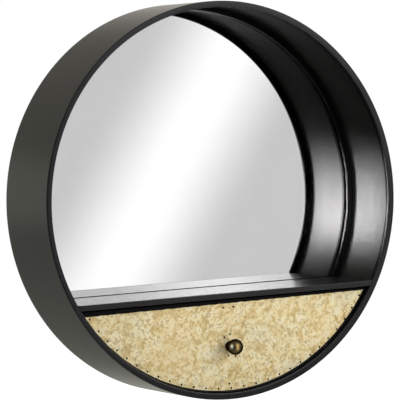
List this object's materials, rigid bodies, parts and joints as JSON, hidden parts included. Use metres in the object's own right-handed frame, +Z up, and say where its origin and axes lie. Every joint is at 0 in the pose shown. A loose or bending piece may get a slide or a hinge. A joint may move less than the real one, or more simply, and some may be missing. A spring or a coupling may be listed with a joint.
{
  "type": "wall mirror with drawer",
  "caption": "Round wall mirror set deep in a black sheet-steel drum, with a flat shelf across it and a brass-faced segment drawer below that slides out on a ball knob.",
  "frame": {"origin": "centre of the drum's back edge, on the wall plane", "axes": "+Z up, -Y out of the open front towards the viewer, +Y into the wall, +X to the right seen from the front"},
  "size_m": [0.6, 0.159, 0.6],
  "materials": {
    "band_paint": "satin warm black paint on sheet steel",
    "bar_paint": "satin black paint on steel bar",
    "shelf_paint": "gloss black paint on sheet steel",
    "tray_paint": "satin black paint on sheet steel",
    "board_paint": "black-painted board",
    "mirror": "silvered float glass",
    "foam": "white foam mounting tape",
    "fibreboard": "bare medium-density fibreboard",
    "wood": "sawn softwood",
    "felt": "dark felt",
    "brass": "mottled acid-etched brass sheet",
    "dark_brass": "antique dark brass",
    "zinc": "zinc-plated steel"
  },
  "bodies": {
    "carcass": {"drum_band": "band_paint", "front_ring": "bar_paint", "mirror_ring": "bar_paint", "shelf_plate": "shelf_paint", "shelf_rail": "bar_paint", "mirror_disc": "mirror", "mirror_tape": "foam", "back_panel": "fibreboard", "panel_lugs": "bar_paint", "lug_screws": "zinc", "hanger_plates": "bar_paint", "runner_bars": "bar_paint", "runner_felts": "felt", "stop_screws": "zinc"},
    "drawer": {"drawer_front": "board_paint", "brass_sheet": "brass", "edge_tacks": "dark_brass", "centre_tacks": "dark_brass", "drawer_tray": "tray_paint", "drawer_back": "fibreboard", "tray_battens": "wood", "tray_screws": "zinc", "knob_ball": "dark_brass", "knob_flange": "dark_brass", "knob_bolt": "zinc", "knob_washer": "zinc"}
  },
  "joints": [
    {"name": "drawer_slide", "type": "slide", "parent": "carcass", "child": "drawer", "axis": [0, -1, 0], "range_m": [0, 0.07]}
  ]
}
